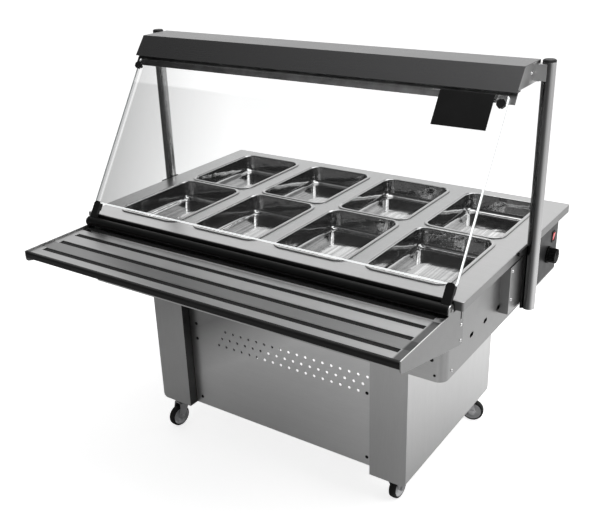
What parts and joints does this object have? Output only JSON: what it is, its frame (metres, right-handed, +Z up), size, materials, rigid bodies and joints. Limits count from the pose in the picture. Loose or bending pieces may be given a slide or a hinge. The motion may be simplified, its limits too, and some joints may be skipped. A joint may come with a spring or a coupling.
{
  "type": "bain marie counter",
  "caption": "Heated buffet counter on castors with pans in a water bath, a leaning glass guard under a canopy and a tray slide.",
  "frame": {"origin": "on the floor under the middle of the overall width and depth", "axes": "+Z up, -Y the customers' side with the tray slide, +X the side with the controls"},
  "size_m": [1.4826, 1.17, 1.387],
  "materials": {
    "brushed_sheet": "brushed stainless sheet",
    "polished_pan": "mirror polished pressing",
    "inner_sheet": "dull inner sheet",
    "element_sheath": "heat-darkened sheath",
    "graphite_canopy": "satin graphite paint",
    "grey_rail": "satin grey",
    "upright_tube": "satin tube",
    "black_moulding": "fine matt black",
    "black_bar": "satin black",
    "black_strip": "ribbed matt strip",
    "sign_black": "gloss black, blank",
    "clear_glass": "clear, polished edges",
    "panel_grey": "dark satin plate",
    "thermostat_case": "moulded case",
    "red_lamp": "lit red lens",
    "valve_brass": "cast brass",
    "red_lever": "dipped red handle",
    "castor_zinc": "zinc grey",
    "castor_hub": "grey moulding",
    "castor_tyre": "black rubber",
    "screw_steel": "plain steel heads"
  },
  "bodies": {
    "counter": {"leg_left": "brushed_sheet", "leg_right": "brushed_sheet", "front_panel": "brushed_sheet", "castor_plates": "castor_zinc", "worktop": "brushed_sheet", "tub_casing": "brushed_sheet", "water_tank": "inner_sheet", "heating_element": "element_sheath", "element_supports": "inner_sheet", "thermowell": "inner_sheet", "control_panel": "panel_grey", "thermostat": "thermostat_case", "switch_housing": "black_moulding", "cable_gland": "black_moulding", "drain_valve": "valve_brass", "upright_left": "upright_tube", "upright_right": "upright_tube", "upright_caps": "black_moulding", "upright_brackets": "brushed_sheet", "upright_saddles": "black_moulding", "canopy_shell": "graphite_canopy", "canopy_ends": "brushed_sheet", "canopy_brackets": "black_moulding", "glass_rail": "grey_rail", "tray_plate": "brushed_sheet", "tray_strips": "black_strip", "tray_trim": "black_moulding", "tray_ends": "brushed_sheet", "dome_screws": "screw_steel"},
    "castor_front_left": {"castor_fork_front_left": "castor_zinc"},
    "wheel_front_left": {"castor_hub_front_left": "castor_hub", "castor_tyre_front_left": "castor_tyre"},
    "castor_front_right": {"castor_fork_front_right": "castor_zinc"},
    "wheel_front_right": {"castor_hub_front_right": "castor_hub", "castor_tyre_front_right": "castor_tyre"},
    "castor_rear_left": {"castor_fork_rear_left": "castor_zinc"},
    "wheel_rear_left": {"castor_hub_rear_left": "castor_hub", "castor_tyre_rear_left": "castor_tyre"},
    "castor_rear_right": {"castor_fork_rear_right": "castor_zinc"},
    "wheel_rear_right": {"castor_hub_rear_right": "castor_hub", "castor_tyre_rear_right": "castor_tyre"},
    "knob": {"thermostat_knob": "black_moulding", "thermostat_spindle": "inner_sheet"},
    "rocker": {"switch_rocker": "red_lamp"},
    "drain_handle": {"drain_lever": "red_lever"},
    "glass": {"front_glass": "clear_glass", "glass_clamps": "black_moulding", "pivot_bar": "black_bar", "bar_plugs": "black_moulding", "sign_plate": "sign_black"},
    "thumb_left": {"thumb_knob_left": "black_moulding"},
    "thumb_right": {"thumb_knob_right": "black_moulding"},
    "pan_front_1_body": {"pan_front_1": "polished_pan"},
    "pan_front_2_body": {"pan_front_2": "polished_pan"},
    "pan_front_3_body": {"pan_front_3": "polished_pan"},
    "pan_front_4_body": {"pan_front_4": "polished_pan"},
    "pan_rear_1_body": {"pan_rear_1": "polished_pan"},
    "pan_rear_2_body": {"pan_rear_2": "polished_pan"},
    "pan_rear_3_body": {"pan_rear_3": "polished_pan"},
    "pan_rear_4_body": {"pan_rear_4": "polished_pan"}
  },
  "joints": [
    {"name": "swivel_front_left", "type": "hinge", "parent": "counter", "child": "castor_front_left", "pos_m": [-0.442, -0.169, 0.105], "axis": [0, 0, 1], "continuous": true},
    {"name": "roll_front_left", "type": "hinge", "parent": "castor_front_left", "child": "wheel_front_left", "pos_m": [-0.44645, -0.20069, 0.04], "axis": [-0.9903, 0.1392, 0], "continuous": true},
    {"name": "swivel_front_right", "type": "hinge", "parent": "counter", "child": "castor_front_right", "pos_m": [0.442, -0.169, 0.105], "axis": [0, 0, 1], "continuous": true},
    {"name": "roll_front_right", "type": "hinge", "parent": "castor_front_right", "child": "wheel_front_right", "pos_m": [0.44367, -0.13704, 0.04], "axis": [0.9986, -0.0523, 0], "continuous": true},
    {"name": "swivel_rear_left", "type": "hinge", "parent": "counter", "child": "castor_rear_left", "pos_m": [-0.442, 0.394, 0.105], "axis": [0, 0, 1], "continuous": true},
    {"name": "roll_rear_left", "type": "hinge", "parent": "castor_rear_left", "child": "wheel_rear_left", "pos_m": [-0.44756, 0.42551, 0.04], "axis": [0.9848, 0.1736, 0], "continuous": true},
    {"name": "swivel_rear_right", "type": "hinge", "parent": "counter", "child": "castor_rear_right", "pos_m": [0.442, 0.394, 0.105], "axis": [0, 0, 1], "continuous": true},
    {"name": "roll_rear_right", "type": "hinge", "parent": "castor_rear_right", "child": "wheel_rear_right", "pos_m": [0.47291, 0.40228, 0.04], "axis": [0.2588, -0.9659, 0], "continuous": true},
    {"name": "thermostat_turn", "type": "hinge", "parent": "counter", "child": "knob", "pos_m": [0.674, 0.478, 0.684], "axis": [1, 0, 0], "range_deg": [-300, 0]},
    {"name": "switch_rock", "type": "hinge", "parent": "counter", "child": "rocker", "pos_m": [0.674, 0.52, 0.735], "axis": [0, -1, 0], "range_deg": [0, 14]},
    {"name": "drain_turn", "type": "hinge", "parent": "counter", "child": "drain_handle", "pos_m": [0.12, 0.315, 0.5275], "axis": [0, 1, 0], "range_deg": [0, 90]},
    {"name": "glass_tilt", "type": "hinge", "parent": "counter", "child": "glass", "pos_m": [0, -0.305, 0.813], "axis": [1, 0, 0], "range_deg": [0, 100]},
    {"name": "thumb_turn_left", "type": "hinge", "parent": "glass", "child": "thumb_left", "pos_m": [-0.66, 0.00406, 1.2871], "axis": [0, -0.8377, 0.5461], "continuous": true},
    {"name": "thumb_turn_right", "type": "hinge", "parent": "glass", "child": "thumb_right", "pos_m": [0.66, 0.00406, 1.2871], "axis": [0, -0.8377, 0.5461], "continuous": true},
    {"name": "lift_pan_front_1", "type": "slide", "parent": "counter", "child": "pan_front_1_body", "axis": [0, 0, 1], "range_m": [0, 0.08]},
    {"name": "lift_pan_front_2", "type": "slide", "parent": "counter", "child": "pan_front_2_body", "axis": [0, 0, 1], "range_m": [0, 0.08]},
    {"name": "lift_pan_front_3", "type": "slide", "parent": "counter", "child": "pan_front_3_body", "axis": [0, 0, 1], "range_m": [0, 0.08]},
    {"name": "lift_pan_front_4", "type": "slide", "parent": "counter", "child": "pan_front_4_body", "axis": [0, 0, 1], "range_m": [0, 0.08]},
    {"name": "lift_pan_rear_1", "type": "slide", "parent": "counter", "child": "pan_rear_1_body", "axis": [0, 0, 1], "range_m": [0, 0.15]},
    {"name": "lift_pan_rear_2", "type": "slide", "parent": "counter", "child": "pan_rear_2_body", "axis": [0, 0, 1], "range_m": [0, 0.15]},
    {"name": "lift_pan_rear_3", "type": "slide", "parent": "counter", "child": "pan_rear_3_body", "axis": [0, 0, 1], "range_m": [0, 0.15]},
    {"name": "lift_pan_rear_4", "type": "slide", "parent": "counter", "child": "pan_rear_4_body", "axis": [0, 0, 1], "range_m": [0, 0.15]}
  ]
}
